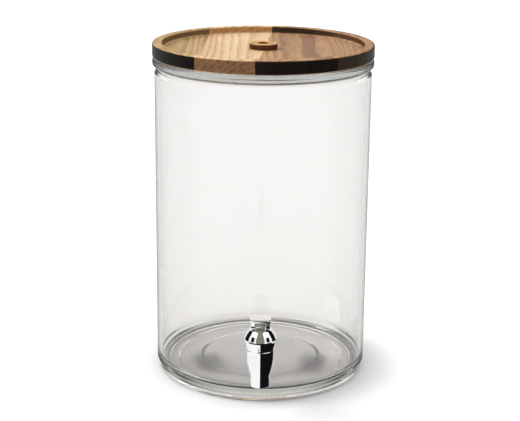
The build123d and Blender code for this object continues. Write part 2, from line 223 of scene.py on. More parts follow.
def layered(outline, insets, heights, axis="z"):
    """Closed block: the outline moved in by each inset along its own normals, at each height on the axis."""
    ahead = np.roll(outline, -1, axis=0) - np.roll(outline, 1, axis=0)
    inward = np.stack([-ahead[:, 1], ahead[:, 0]], axis=-1)
    inward /= np.linalg.norm(inward, axis=1, keepdims=True)
    area = np.sum(outline[:, 0] * np.roll(outline[:, 1], -1) - np.roll(outline[:, 0], -1) * outline[:, 1])
    inward *= np.sign(area)
    insets, heights = np.array(insets), np.array(heights)
    flat = outline[None] + inward[None] * insets[:, None, None]
    level = np.broadcast_to(heights[:, None], flat.shape[:2])
    order = {"z": (flat[..., 0], flat[..., 1], level), "x": (level, flat[..., 0], flat[..., 1])}[axis]
    points = np.stack(order, axis=-1)
    rows, columns = points.shape[:2]
    faces = [list(f) for f in grid_faces(rows, columns, wrap_rows=False)]
    faces.append(list(range(columns)))
    faces.append(list(range((rows - 1) * columns, rows * columns)))
    return points.reshape(-1, 3), faces


def soft_edges(low, high, radius, steps=5):
    """Insets and heights of a block between low and high whose two edges are quarter rounds."""
    a = np.linspace(0, math.pi / 2, steps + 1)
    inset = radius * (1 - np.sin(a))
    rise = radius * (1 - np.cos(a))
    support = 0.1 * radius
    insets = np.concatenate([[radius + support], inset, [0, 0], inset[::-1], [radius + support]])
    heights = np.concatenate([
        [low], low + rise, [low + radius + support, high - radius - support], high - rise[::-1], [high]])
    return insets, heights


def placed(name, data):
    """Object with the data, linked to the scene."""
    holder = bpy.data.objects.new(name, data)
    bpy.context.scene.collection.objects.link(holder)
    return holder


def piece_from(name, parts, sharp_degrees=32):
    """Mesh object from (points, faces) parts, with doubles merged, faces outwards and smooth shading."""
    points, faces, count = [], [], 0
    for part_points, part_faces in parts:
        points.append(part_points)
        faces += [(np.asarray(face) + count).tolist() for face in part_faces]
        count += len(part_points)
    mesh = bpy.data.meshes.new(name)
    mesh.from_pydata(np.concatenate(points).tolist(), [], faces)
    tidy = bmesh.new()
    tidy.from_mesh(mesh)
    bmesh.ops.remove_doubles(tidy, verts=tidy.verts, dist=1e-6)
    bmesh.ops.recalc_face_normals(tidy, faces=tidy.faces)
    tidy.to_mesh(mesh)
    tidy.free()
    shade(mesh, sharp_degrees)
    return placed(name, mesh)


def shade(mesh, sharp_degrees=32):
    mesh.shade_smooth()
    mesh.set_sharp_from_angle(angle=math.radians(sharp_degrees))


def combined(piece, tool, operation, sharp_degrees=32):
    """piece joined with, or cut by, the tool's closed surface. The tool is used up."""
    step = piece.modifiers.new("step", "BOOLEAN")
    step.operation = operation
    step.solver = "EXACT"
    step.object = tool
    bpy.context.view_layer.update()
    result = bpy.data.meshes.new_from_object(piece.evaluated_get(bpy.context.evaluated_depsgraph_get()))
    if not result.polygons:
        raise RuntimeError(f"{piece.name}: the {operation.lower()} left nothing")
    piece.modifiers.clear()
    piece.data = result
    result.name = piece.name
    shade(result, sharp_degrees)
    bpy.data.objects.remove(tool)


def block(name, low, high):
    """Square-edged cutter between two corners."""
    (x0, y0, z0), (x1, y1, z1) = low, high
    outline = np.array([(x0, y0), (x1, y0), (x1, y1), (x0, y1)])
    return piece_from(name, [layered(outline, (0, 0), (z0, z1))])


def settle(piece, material, body, slot, *nodes):
    """Gives a finished piece its material and its body, and hides the CAD nodes it stands for. The slot
    argument is not used.
    """
    piece.data.materials.clear()
    piece.data.materials.append(material)
    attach(piece, body)
    if nodes:
        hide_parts(*nodes)


# ---- shader building ----

def feed(tree, socket, value):
    if isinstance(value, bpy.types.NodeSocket):
        tree.links.new(value, socket)
    else:
        socket.default_value = value


def calc(tree, operation, *values):
    node = tree.nodes.new("ShaderNodeMath")
    node.operation = operation
    for socket, value in zip(node.inputs, values):
        feed(tree, socket, value)
    return node.outputs[0]


def chained(tree, operation, values):
    """Any number of values taken two at a time through one operation."""
    return functools.reduce(lambda first, second: calc(tree, operation, first, second), values)


def product(tree, *values):
    return chained(tree, "MULTIPLY", values)


def total(tree, *values):
    return chained(tree, "ADD", values)


def largest(tree, *values):
    return chained(tree, "MAXIMUM", values)


def size_of(tree, value):
    return calc(tree, "ABSOLUTE", value)


def hypotenuse(tree, first, second):
    """Square root of the sum of two squares."""
    return calc(tree, "SQRT", total(tree, calc(tree, "POWER", first, 2.0), calc(tree, "POWER", second, 2.0)))


def vector_calc(tree, operation, first, second):
    node = tree.nodes.new("ShaderNodeVectorMath")
    node.operation = operation
    feed(tree, node.inputs[0], first)
    feed(tree, node.inputs["Scale" if operation == "SCALE" else 1], second)
    return node.outputs[0]


def split(tree, vector):
    """X, Y and Z of a vector."""
    node = tree.nodes.new("ShaderNodeSeparateXYZ")
    feed(tree, node.inputs[0], vector)
    return node.outputs


def coordinates(tree, kind="Object"):
    return tree.nodes.new("ShaderNodeTexCoord").outputs[kind]


def noise(tree, vector, scale, detail=2.0, roughness=0.5):
    node = tree.nodes.new("ShaderNodeTexNoise")
    for name, value in (("Vector", vector), ("Scale", scale), ("Detail", detail), ("Roughness", roughness)):
        feed(tree, node.inputs[name], value)
    return node.outputs[0]


def spread(tree, value, low, high, to_low=0.0, to_high=1.0):
    """Smooth step of value from low..high to to_low..to_high."""
    node = tree.nodes.new("ShaderNodeMapRange")
    node.interpolation_type = "SMOOTHSTEP"
    for socket, number in zip(node.inputs, (value, low, high, to_low, to_high)):
        feed(tree, socket, number)
    return node.outputs[0]


def fall(tree, value, low, high):
    """Smooth step of value from 1 at low to 0 at high."""
    return spread(tree, value, low, high, 1.0, 0.0)


def mixed(tree, factor, first, second):
    node = tree.nodes.new("ShaderNodeMix")
    node.data_type = "RGBA"
    for index, value in ((0, factor), (6, first), (7, second)):
        feed(tree, node.inputs[index], value)
    return node.outputs[2]


def rgba(colour_value, scale=1.0):
    return (*[min(1.0, c * scale) for c in colour_value], 1.0)


def grey(value):
    return (value, value, value, 1.0)


def shader_group(name, inputs, outputs):
    """Empty node group with the named input and output sockets."""
    group = bpy.data.node_groups.new(name, "ShaderNodeTree")
    for direction, sockets in (("INPUT", inputs), ("OUTPUT", outputs)):
        for socket_name, kind in sockets.items():
            group.interface.new_socket(name=socket_name, in_out=direction, socket_type="NodeSocket" + kind)
    return group, group.nodes.new("NodeGroupInput").outputs, group.nodes.new("NodeGroupOutput").inputs


def timber_group():
    """Growth rings about a pith line along Y, with fibres and pores, and painted shade on upright faces.

    A ring's number is the distance from the pith line over the ring width, and late wood is the last
    part of each ring. Turned edges and upright faces take End Grain And Shade, the end grain's colour
    darkened with painted shade, and faces at Side Radius take Side, the side's tone with painted shade.
    """
    tree, given, out = shader_group(
        "timber",
        {"Pith": "Vector", "Ring Width": "Float", "Seed": "Float", "Light": "Color", "Dark": "Color",
         "End": "Color", "Side": "Color", "Side Radius": "Float"},
        {"Colour": "Color", "Roughness": "Float", "Height": "Float"})
    place = vector_calc(tree, "ADD", coordinates(tree), given["Seed"])

    def drawn_out(along):
        """The place with Y shrunk, which draws a pattern out along the grain."""
        return vector_calc(tree, "MULTIPLY", place, (1.0, along, 1.0))

    slow = drawn_out(0.10)
    sway = product(tree, noise(tree, slow, 9.0, 1.0), 12 * MM)
    x, _, z = split(tree, vector_calc(tree, "SUBTRACT", coordinates(tree), given["Pith"]))
    rings = calc(tree, "DIVIDE", hypotenuse(tree, total(tree, x, sway), z), given["Ring Width"])
    rings = total(tree, rings, product(tree, noise(tree, slow, 70.0, 2.0), 0.9))
    phase = calc(tree, "FRACT", rings)
    late = product(tree, spread(tree, phase, 0.25, 0.9), fall(tree, phase, 0.92, 1.0))
    fibre = noise(tree, drawn_out(0.035), 900.0, 3.0, 0.6)
    pores = spread(tree, noise(tree, drawn_out(0.07), 1700.0, 1.0), 0.64, 0.74)
    broad = noise(tree, slow, 34.0, 3.0)
    depth = total(tree, product(tree, late, 0.30), product(tree, broad, 1.1), product(tree, fibre, 0.85))
    face = mixed(tree, spread(tree, depth, 0.75, 1.5), given["Light"], given["Dark"])
    face = mixed(tree, product(tree, pores, 0.45), face, (0.03, 0.015, 0.008, 1.0))
    _, facing_y, facing_z = split(tree, coordinates(tree, "Normal"))
    level = size_of(tree, facing_z)
    ends = product(tree, spread(tree, size_of(tree, facing_y), 0.35, 0.9), 0.92)
    # Upright faces lean to End Grain And Shade: painted shade where the light from above misses them.
    upright_shade = spread(tree, level, 0.25, 0.6, 0.9, 0.0)
    # Faces at Side Radius take Side: the side's timber tone darkened with painted shade.
    x, y, _ = split(tree, coordinates(tree))
    past = calc(tree, "SUBTRACT", hypotenuse(tree, x, y), given["Side Radius"])
    side = product(tree, spread(tree, past, -2 * MM, 0.0), fall(tree, level, 0.35, 0.85))
    streak = noise(tree, vector_calc(tree, "MULTIPLY", place, (1.0, 1.0, 0.35)), 420.0, 3.0)
    streak = total(tree, product(tree, late, 0.16), streak)
    tone = mixed(tree, side, given["End"], given["Side"])
    tone = vector_calc(tree, "SCALE", tone, spread(tree, streak, 0.30, 0.95, 1.25, 0.55))
    tree.links.new(mixed(tree, largest(tree, ends, upright_shade, side), face, tone), out["Colour"])
    tree.links.new(total(tree, product(tree, fibre, 0.18), 0.36), out["Roughness"])
    tree.links.new(calc(tree, "SUBTRACT", fibre, product(tree, pores, 1.2)), out["Height"])
    return tree


def handled_group():
    """Faint clouding, fine wiping marks and specks that handled metal, glass and plastic pick up."""
    tree, given, out = shader_group(
        "handled", {"Scale": "Float", "Clean": "Color", "Worn": "Color", "Low": "Float", "High": "Float"},
        {"Colour": "Color", "Roughness": "Float", "Height": "Float"})
    place = coordinates(tree)
    wiped = vector_calc(tree, "MULTIPLY", place, (1.0, 1.0, 0.15))
    cloud = noise(tree, place, given["Scale"], 3.0)
    marks = noise(tree, wiped, product(tree, given["Scale"], 14.0), 2.0)
    specks = spread(tree, noise(tree, place, product(tree, given["Scale"], 40.0), 1.0), 0.70, 0.78)
    soiled = total(tree, spread(tree, cloud, 0.45, 0.75), product(tree, specks, 0.4))
    tree.links.new(mixed(tree, soiled, given["Clean"], given["Worn"]), out["Colour"])
    share = product(tree, total(tree, soiled, marks), 0.5)
    reach = calc(tree, "SUBTRACT", given["High"], given["Low"])
    tree.links.new(total(tree, given["Low"], product(tree, share, reach)), out["Roughness"])
    tree.links.new(total(tree, cloud, product(tree, marks, 0.2)), out["Height"])
    return tree


def jar_tone_group():
    """Glass colour with painted shade on the rim bead and at the two ends of the step under the base, and
    the share of the light that the jar lets through to the floor.

    The share grows with height up the wall. Under the base it is less inside the step and at the front,
    and least at the step's ends.
    """
    tree, given, out = shader_group(
        "jar_tone", {"Body": "Color", "Bead": "Color", "Step": "Color"},
        {"Colour": "Color", "Share": "Float"})
    bead_foot, bead_side, bead_top, rim = 318.5 * MM, 325 * MM, 330 * MM, 332 * MM
    step_radius, base_radius = 58 * MM, 93 * MM
    x, y, z = split(tree, coordinates(tree))
    reach = hypotenuse(tree, x, y)
    off_step = size_of(tree, calc(tree, "SUBTRACT", reach, step_radius))
    off_end = size_of(tree, total(tree, y, 24 * MM))
    # The step's two ends: painted shade on the glass there, and less light through to the floor.
    end = product(
        tree, fall(tree, off_step, 7 * MM, 20 * MM), spread(tree, size_of(tree, x), 34 * MM, 52 * MM),
        fall(tree, off_end, 10 * MM, 32 * MM))
    inner = spread(tree, reach, step_radius, step_radius + 8 * MM, 0.12, 0.0)
    front = spread(tree, y, -30 * MM, -16 * MM, 0.11, 0.0)
    base = calc(tree, "SUBTRACT", 0.76, total(tree, inner, front, end))
    base = product(tree, base, fall(tree, reach, base_radius, base_radius + 7 * MM))
    wall = spread(tree, z, 3 * MM, 47 * MM, 0.05, 0.98)
    wall = product(tree, wall, spread(tree, reach, base_radius, base_radius + 7 * MM))
    tree.links.new(largest(tree, base, wall), out["Share"])
    # Painted shade on the rim bead, less at its very top.
    bead = product(tree, spread(tree, z, bead_foot, bead_side), spread(tree, z, bead_top, rim, 1.0, 0.35))
    # Painted shade at the step's two ends, on the glass below 16 mm.
    step = product(tree, end, spread(tree, z, 16 * MM, 20 * MM, 0.9, 0.0))
    tone = mixed(tree, bead, given["Body"], given["Bead"])
    tree.links.new(mixed(tree, step, tone, given["Step"]), out["Colour"])
    return tree


def shared_group(name, make):
    return bpy.data.node_groups.get(name) or make()


def new_material(name, group, values, bump=0.1, **sockets):
    """Material with one Principled shader fed by a group's colour, roughness and height."""
    material = bpy.data.materials.new(name)
    material.use_nodes = True
    tree = material.node_tree
    shader = tree.nodes["Principled BSDF"]
    node = tree.nodes.new("ShaderNodeGroup")
    node.node_tree = group
    for socket_name, value in values.items():
        node.inputs[socket_name].default_value = value
    tree.links.new(node.outputs["Colour"], shader.inputs["Base Color"])
    tree.links.new(node.outputs["Roughness"], shader.inputs["Roughness"])
    relief = tree.nodes.new("ShaderNodeBump")
    relief.inputs["Strength"].default_value = bump
    relief.inputs["Distance"].default_value = 0.2 * MM
    tree.links.new(node.outputs["Height"], relief.inputs["Height"])
    tree.links.new(relief.outputs["Normal"], shader.inputs["Normal"])
    for socket_name, value in sockets.items():
        shader.inputs[socket_name.replace("_", " ")].default_value = value
    return material


def timber(name, pith, ring_width, seed, light, dark, end, side, side_radius):
    values = {"Pith": pith, "Ring Width": ring_width, "Seed": seed, "Light": rgba(light), "Dark": rgba(dark),
              "End": rgba(end), "Side": rgba(side), "Side Radius": side_radius}
    group = shared_group("timber", timber_group)
    return new_material(name, group, values, bump=0.35, Specular_IOR_Level=0.12)


def plain_finish(name, clean, worn, smooth, rough, scale, bump, **sockets):
    """Finish whose soiled places are the clean colour times worn, rough between smooth and rough."""
    values = {"Scale": scale, "Clean": rgba(clean), "Worn": rgba(clean, worn), "Low": smooth, "High": rough}
    return new_material(name, shared_group("handled", handled_group), values, bump=bump, **sockets)


def finish(name):
    """The named finish, made the first time that it is asked for."""
    tones = bpy.context.scene.dispenser_finish
    looks = {
        "chrome_plate": dict(
            clean=tones.chrome, worn=0.93, smooth=0.02, rough=0.07, scale=60.0, bump=0.01, Metallic=1.0),
        "turned_steel": dict(
            clean=tones.steel, worn=0.7, smooth=0.22, rough=0.42, scale=90.0, bump=0.06, Metallic=1.0),
        "clear_silicone": dict(
            clean=tones.silicone, worn=0.85, smooth=0.35, rough=0.5, scale=70.0, bump=0.05,
            Subsurface_Weight=0.3, Subsurface_Scale=2 * MM),
        "seal_rubber": dict(clean=tones.rubber, worn=1.8, smooth=0.55, rough=0.75, scale=120.0, bump=0.1),
    }
    return bpy.data.materials.get(name) or plain_finish(name, **looks[name])


def clear_glass():
    """Solid clear glass with a faint wave, which lets the light for the floor straight through.

    So does a path that has already met more than five surfaces, which would stay trapped in the wall.
    """
    material = plain_finish(
        "clear_glass", clean=(0.862, 0.855, 0.850), worn=0.99, smooth=0.0, rough=0.0, scale=22.0, bump=0.008,
        Transmission_Weight=1.0, IOR=1.5)
    tree = material.node_tree
    shader = tree.nodes["Principled BSDF"]
    output = tree.nodes["Material Output"]
    tree.links.remove(shader.inputs["Roughness"].links[0])
    shader.inputs["Roughness"].default_value = 0.0
    tone = tree.nodes.new("ShaderNodeGroup")
    tone.node_tree = shared_group("jar_tone", jar_tone_group)
    # The Bead and Step colours are painted shade on the rim bead and at the step's ends.
    tone.inputs["Bead"].default_value = (0.47, 0.48, 0.47, 1.0)
    tone.inputs["Step"].default_value = (0.42, 0.42, 0.39, 1.0)
    tree.links.new(shader.inputs["Base Color"].links[0].from_socket, tone.inputs["Body"])
    tree.links.new(tone.outputs["Colour"], shader.inputs["Base Color"])
    path = tree.nodes.new("ShaderNodeLightPath").outputs
    trapped = spread(tree, path["Ray Depth"], 5.4, 5.6)
    clear = tree.nodes.new("ShaderNodeBsdfTransparent")
    tree.links.new(largest(tree, tone.outputs["Share"], product(tree, trapped, 0.94)), clear.inputs[0])
    passing = largest(tree, path["Is Shadow Ray"], path["Is Diffuse Ray"], trapped)
    either = tree.nodes.new("ShaderNodeMixShader")
    for socket, source in zip(either.inputs, (passing, shader.outputs[0], clear.outputs[0])):
        tree.links.new(source, socket)
    tree.links.new(either.outputs[0], output.inputs["Surface"])
    depth = tree.nodes.new("ShaderNodeVolumeAbsorption")
    depth.inputs["Color"].default_value = (0.80, 0.815, 0.76, 1.0)
    depth.inputs["Density"].default_value = 12.0
    tree.links.new(depth.outputs[0], output.inputs["Volume"])
    return material


# ---- operators ----

class DISPENSER_OT_jar(bpy.types.Operator):
    """Glass jar with a rolled rim, neck groove, stepped underside and the tap's hole"""
    bl_idname = "dispenser.jar"
    bl_label = "Glass jar"
    segments = 256
    half_window = 6

    def window_heights(self, size):
        """Row heights round the tap's hole, a column's width apart."""
        step = 2 * math.pi * size.radius / self.segments
        return SHANK_Z + np.arange(-self.half_window, self.half_window + 1) * step

    def outline(self, size):
        """Closed half section, from the foot up the outside, over the rim and down to the underside."""
        radius, rim, bead = size.radius / MM, size.rim_z / MM, size.bead_radius / MM
        inner = radius - size.wall / MM
        bead_height = neck_height = 7.6
        bead_low = rim - bead_height
        shoulder = bead_low - neck_height
        rows = self.window_heights(size) / MM
        mouth = radius - 5.5
        outer = [(107.5, 0, 1.6), (108.0, 7.4, 0.8), (radius, 10.0, 2.4)]
        outer += corner_list((radius, z) for z in rows)
        neck = radius - 1.9
        outer += [(radius, shoulder, 3.0), (neck, bead_low - 4, 1.6), (neck, bead_low - 0.6, 1.2),
                  (bead, bead_low + 0.4, 2.6), (bead, rim, 3.0)]
        inside = [(mouth, rim, 2.4), (mouth, shoulder + 2, 6.0), (inner, shoulder - 12, 12.0)]
        inside += corner_list((inner, z) for z in rows[::-1])
        inside += [(inner, 10.0, 9.0), (0, 10.6, 0)]
        under = [(0, 5.4, 0), (60.5, 4.6, 6.0), (64, 3, 1.2), (86, 2.8, 1.0), (88, 1.9, 1.0),
                 (96.5, 1.7, 0.8), (98, 0, 1.0)]
        return rounded(outer + inside + under)

    def patch(self, size, radius):
        """Ring of wall between the square window and the round hole, bent to the wall's radius."""
        half = self.half_window
        turn = np.arange(-half, half + 1) * 2 * math.pi / self.segments
        across = radius * np.sin(turn)
        up = self.window_heights(size) - SHANK_Z
        side = np.concatenate([across[:-1], np.full(2 * half, across[-1]), across[:0:-1],
                               np.full(2 * half, across[0])])
        rise = np.concatenate([np.full(2 * half, up[0]), up[:-1], np.full(2 * half, up[-1]), up[:0:-1]])
        a = np.arctan2(rise, side)
        s = np.linspace(0, 1, 7)[:, None]
        x = side * (1 - s) + size.hole_radius * np.cos(a) * s
        z = rise * (1 - s) + size.hole_radius * np.sin(a) * s
        return np.stack([x, -np.sqrt(radius**2 - x**2), z + SHANK_Z], axis=-1)

    def execute(self, context):
        size = context.scene.dispenser_jar
        outline = self.outline(size)
        points, _ = turned(outline, self.segments)
        keep = np.ones((len(outline), self.segments), bool)
        rows = self.window_heights(size)
        half = self.half_window
        parts = []
        for radius in (size.radius, size.radius - size.wall):
            on_wall = np.isclose(outline[:, 0], radius, atol=1e-6)
            inside = on_wall & (outline[:, 1] > rows[0] - 1e-6) & (outline[:, 1] < rows[-1] + 1e-6)
            first = np.flatnonzero(inside)[0]
            columns = np.arange(-half, half) % self.segments
            keep[first:first + 2 * half, columns] = False
            ring = self.patch(size, radius)
            parts.append((ring.reshape(-1, 3), grid_faces(*ring.shape[:2], wrap_rows=False)))
        parts.insert(0, (points, grid_faces(len(outline), self.segments, keep=keep)))
        tube = np.stack([self.patch(size, size.radius)[-1], self.patch(size, size.radius - size.wall)[-1]])
        parts.append((tube.reshape(-1, 3), grid_faces(*tube.shape[:2], wrap_rows=False)))
        jar = piece_from("jar_glass", parts, 40)
        settle(jar, clear_glass(), "jar", "glass", "glass_jar")
        return {"FINISHED"}


class DISPENSER_OT_lid(bpy.types.Operator):
    """Four edge-glued boards turned together into one lid with a rim and a recess"""
    bl_idname = "dispenser.lid"
    bl_label = "Lid boards"
    seams = ((-66.4, -56.6), (-8.0, 10.2), (71.0, 73.0))
    seam_reach = 117.5 * MM

    def blank(self, size):
        radius, top, plug = size.radius / MM, size.top_z / MM, size.plug_radius / MM
        inner = radius - size.rim_width / MM
        low, recess = top - size.side_height / MM, top - size.recess / MM
        plug_low = PLUG_LOW / MM
        outline = rounded([
            (2.0, plug_low, 0), (plug, plug_low, 1.4), (plug, low, 0), (radius, low, 1.8),
            (radius, top, 1.8), (inner, top, 1.4), (inner - 0.6, recess, 2.6), (2.0, recess, 0)])
        return piece_from("lid_blank", [turned(outline, 256)])

    def board(self, blank, number):
        """The blank between two seams, each cut face closed."""
        cut = bmesh.new()
        cut.from_mesh(blank.data)
        sides = [(self.seams[number - 1], -1)] if number > 0 else []
        sides += [(self.seams[number], 1)] if number < len(self.seams) else []
        for (front, back), side in sides:
            start = Vector((front * MM, -self.seam_reach, 0))
            along = Vector(((back - front) * MM, 2 * self.seam_reach, 0))
            away = Vector((along.y, -along.x, 0)).normalized() * side
            found = bmesh.ops.bisect_plane(
                cut, geom=[*cut.verts, *cut.edges, *cut.faces], dist=1e-7, plane_co=start, plane_no=away,
                clear_outer=True)
            edges = [e for e in found["geom_cut"] if isinstance(e, bmesh.types.BMEdge)]
            bmesh.ops.triangle_fill(cut, edges=edges, use_beauty=True)
        bmesh.ops.recalc_face_normals(cut, faces=cut.faces)
        mesh = bpy.data.meshes.new(f"lid_board_{number + 1}")
        cut.to_mesh(mesh)
        cut.free()
        shade(mesh)
        return placed(mesh.name, mesh)

    def execute(self, context):
        tones = context.scene.dispenser_finish
        light, dark = np.array(tones.timber_light), np.array(tones.timber_dark)
        size = context.scene.dispenser_lid
        blank = self.blank(size)
        # Each board's end and side colours are its end-grain and side tones darkened with painted shade.
        boards = (
            dict(pith=(-0.090, 0, 0.300), ring_width=3.4 * MM, seed=3.1, light=light * (0.93, 1.08, 1.20),
                 dark=dark * (1.6, 1.9, 1.9), end=(0.11, 0.065, 0.028), side=(0.0026, 0.0016, 0.0009)),
            dict(pith=(0.020, 0, 0.270), ring_width=4.8 * MM, seed=7.7, light=light * (1.22, 1.56, 2.10),
                 dark=dark * (2.6, 3.2, 3.9), end=(0.36, 0.17, 0.055), side=(0.150, 0.078, 0.034)),
            dict(pith=(0.050, 0, 0.240), ring_width=2.8 * MM, seed=12.4, light=light * (0.84, 0.82, 0.90),
                 dark=dark * (1.3, 1.5, 1.9), end=(0.006, 0.003, 0.0018), side=(0.0085, 0.0045, 0.0022)),
            dict(pith=(0.120, 0, 0.310), ring_width=3.8 * MM, seed=18.9, light=light * (0.69, 0.68, 0.82),
                 dark=dark * (1.3, 1.35, 1.7), end=(0.045, 0.023, 0.012), side=(0.026, 0.017, 0.009)),
        )
        for number, look in enumerate(boards):
            wood = timber(f"timber_{number + 1}", **look, side_radius=size.radius)
            settle(self.board(blank, number), wood, "lid", "lid_wood", f"lid_stave_{number + 1}")
        bpy.data.objects.remove(blank)
        return {"FINISHED"}


class DISPENSER_OT_knob(bpy.types.Operator):
    """Turned wooden knob and the pan-head screw in its hole"""
    bl_idname = "dispenser.knob"
    bl_label = "Knob and screw"

    def execute(self, context):
        size = context.scene.dispenser_lid
        tones = context.scene.dispenser_finish
        base = (size.top_z - size.recess) / MM
        radius, hole, top = size.knob_radius / MM, size.knob_hole / MM, base + size.knob_height / MM
        floor = base + 2.4
        outline = rounded([
            (2.0, base, 0), (radius - 0.5, base, 0.4), (radius, base + 1.6, 1.5), (radius, top, 1.5),
            (hole, top, 0.9), (hole, floor, 0.5), (2.0, floor, 0)])
        knob = piece_from("knob", [turned(outline, 96)])
        # The knob's end and side colours are end grain and side tone darkened with painted shade.
        wood = timber(
            "timber_knob", pith=(4 * MM, 0, (base - 20) * MM), ring_width=3 * MM, seed=24.2,
            light=np.array(tones.timber_light) * (1.2, 1.116, 1.05), dark=np.array(tones.timber_dark) * 1.2,
            end=(0.09, 0.04, 0.016), side=(0.075, 0.024, 0.009), side_radius=size.knob_radius)
        settle(knob, wood, "lid", "knob_wood", "lid_knob")
        head = rounded([
            (0, floor - 12.4, 0), (1.5, floor - 12.4, 0), (2.0, floor - 10.9, 0), (2.0, floor, 0),
            (4.6, floor, 0.3), (4.6, floor + 1.9, 1.2), (0, floor + 2.3, 0)])
        screw = piece_from("screw", [turned(head, 64)])
        for half in ((2.3, 0.45), (0.45, 2.3)):
            x, y = half[0] * MM, half[1] * MM
            slot = block("slot", (-x, -y, (floor + 1.2) * MM), (x, y, (floor + 4) * MM))
            combined(screw, slot, "DIFFERENCE")
        settle(screw, finish("turned_steel"), "lid", "steel", "knob_screw")
        return {"FINISHED"}


class DISPENSER_OT_gasket(bpy.types.Operator):
    """Soft gasket: a flange between wood and glass, a band round the plug and two fins"""
    bl_idname = "dispenser.gasket"
    bl_label = "Lid gasket"

    def execute(self, context):
        size = context.scene.dispenser_lid
        plug, top = size.plug_radius / MM, (size.top_z - size.side_height) / MM
        fin_r, low = 104.7, PLUG_LOW / MM
        band = plug + 1.2
        corners = [(plug, low + 1.6, 0.3), (band, low + 1.6, 0.3)]
        for fin in (low + 2.0, low + 4.0):
            corners += [(band, fin - 0.35, 0), (fin_r, fin + 0.15, 0.1), (fin_r, fin + 0.45, 0.1),
                        (band, fin + 0.45, 0)]
        corners += [(band, top - 0.8, 0.2), (109, top - 0.8, 0.3), (109, top, 0.2), (plug, top, 0)]
        gasket = piece_from("gasket", [turned(rounded(corners, steps=3), 192)])
        settle(gasket, finish("clear_silicone"), "lid", "silicone", "lid_gasket")
        return {"FINISHED"}


class DISPENSER_OT_tap_body(bpy.types.Operator):
    """Vase-shaped barrel with its spout, and the flanged, threaded shank"""
    bl_idname = "dispenser.tap_body"
    bl_label = "Tap body"

    def barrel(self, size):
        """Section from the spout up the vase to the neck, then down the chamber and the seat's cone."""
        spout, bore, shoulder = size.spout_radius / MM, size.bore_radius / MM, size.shoulder_radius / MM
        low, top = SPOUT_LOW / MM, BONNET_LOW.z / MM - 0.3
        seat_top = SEAT_Z + (CHAMBER_R - bore) / math.tan(SEAT_TURN)
        vase = [(spout + 0.2, 41), (11.6, 48.5), (13.1, 55.8), (13.6, 62), (shoulder, top - 0.4)]
        corners = [(bore, low, 0.4), (spout + 0.3, low, 0.7), (spout + 0.2, 39, 2.0)]
        corners += corner_list(smooth_curve(vase, 40))
        corners += [(shoulder - 0.3, top, 0), (NECK_R, top, 0), (NECK_R, NECK_TOP, 0)]
        corners += [(CHAMBER_R, NECK_TOP, 0), (CHAMBER_R, seat_top, 0), (bore, SEAT_Z, 0)]
        points, faces = turned(rounded(corners, steps=4), 160)
        return points + (0, TAP_Y, 0), faces

    def shank(self, size, glass):
        """Section along the shank from inside the barrel's wall: flare, flange, then thread ridges."""
        face, end = glass - WASHER_T, (SHANK_END - TAP_Y) / MM
        radius, flange = size.shank_radius / MM, size.flange_radius / MM
        start, pitch, thread_depth = glass + 1.0, 1.5, 0.6
        a = np.linspace(0, math.pi / 2, 9)
        flare = np.stack([radius + 3.4 * (1 - np.cos(a)), face - 2.6 - 5.0 * (1 - np.sin(a))], axis=-1)
        corners = [(SHANK_BORE, 10, 0), (radius, 10, 0)] + corner_list(flare)
        corners += [(flange, face - 2.4, 0.5), (flange, face, 0.3), (radius, face, 0),
                    (radius, start - 0.8, 0)]
        for turn in range(round((end - 0.5 - start) / pitch)):
            valley = start + turn * pitch
            corners += [(radius - thread_depth, valley, 0.15), (radius, valley + pitch / 2, 0.15)]
        corners += [(radius - thread_depth, end, 0.2), (SHANK_BORE, end, 0.2)]
        points, faces = turned(rounded(corners, steps=3), 96)
        return along_shank(points), faces

    def execute(self, context):
        size = context.scene.dispenser_tap
        body = piece_from("barrel", [self.barrel(size)])
        glass = (-TAP_Y - context.scene.dispenser_jar.radius) / MM
        combined(body, piece_from("shank", [self.shank(size, glass)]), "UNION")
        inlet = rounded([(0, 5, 0), (SHANK_BORE, 5, 0), (SHANK_BORE, 20, 0), (0, 20, 0)])
        points, faces = turned(inlet, 96)
        combined(body, piece_from("inlet", [(along_shank(points), faces)]), "DIFFERENCE")
        settle(body, finish("chrome_plate"), "jar", "chrome", "tap_body")
        return {"FINISHED"}


class DISPENSER_OT_bonnet(bpy.types.Operator):
    """Domed bonnet with a conical collar, the stem's gland and the notch in the collar"""
    bl_idname = "dispenser.bonnet"
    bl_label = "Tap bonnet"
    notch_turn = math.radians(-3.5)

    def execute(self, context):
        size = context.scene.dispenser_tap
        low, top = BONNET_LOW.z / MM, BONNET_HIGH.z / MM
        rim, crown = size.bonnet_radius / MM, size.crown_radius / MM
        rim_z = low + 9.6
        dome = smooth_curve([(rim - 0.55, rim_z + 1.3), (13.35, 85.3), (crown, top - 0.3)], 18)
        neck, stem_hole = NECK_R + 0.05, STEM_R + 0.08
        gland, gland_top, well, well_top = 4.6, 85.4, 8, 83
        corners = [(neck, low, 0.2), (13.9, low, 0.35), (rim - 0.2, rim_z - 0.9, 0.5),
                   (rim, rim_z - 0.5, 0.15), (rim - 0.28, rim_z + 0.9, 0.3)]
        corners += corner_list(dome)
        corners += [(crown - 0.5, top, 0.3), (stem_hole, top, 0.2), (stem_hole, gland_top, 0),
                    (gland, gland_top, 0), (gland, well_top, 0), (well, well_top, 0),
                    (well, NECK_TOP + 0.1, 0), (neck, NECK_TOP + 0.1, 0)]
        points, faces = turned(rounded(corners, steps=4), 160)
        bonnet = piece_from("bonnet", [(points, faces)])
        notch = block("notch", (-MM, -20 * MM, (low - 5) * MM), (MM, -11 * MM, (low + 5) * MM))
        notch.data.transform(Matrix.Rotation(self.notch_turn, 4, "Z"))
        combined(bonnet, notch, "DIFFERENCE")
        bonnet.data.transform(Matrix.Translation((0, TAP_Y, 0)))
        settle(bonnet, finish("chrome_plate"), "jar", "chrome", "tap_bonnet")
        return {"FINISHED"}


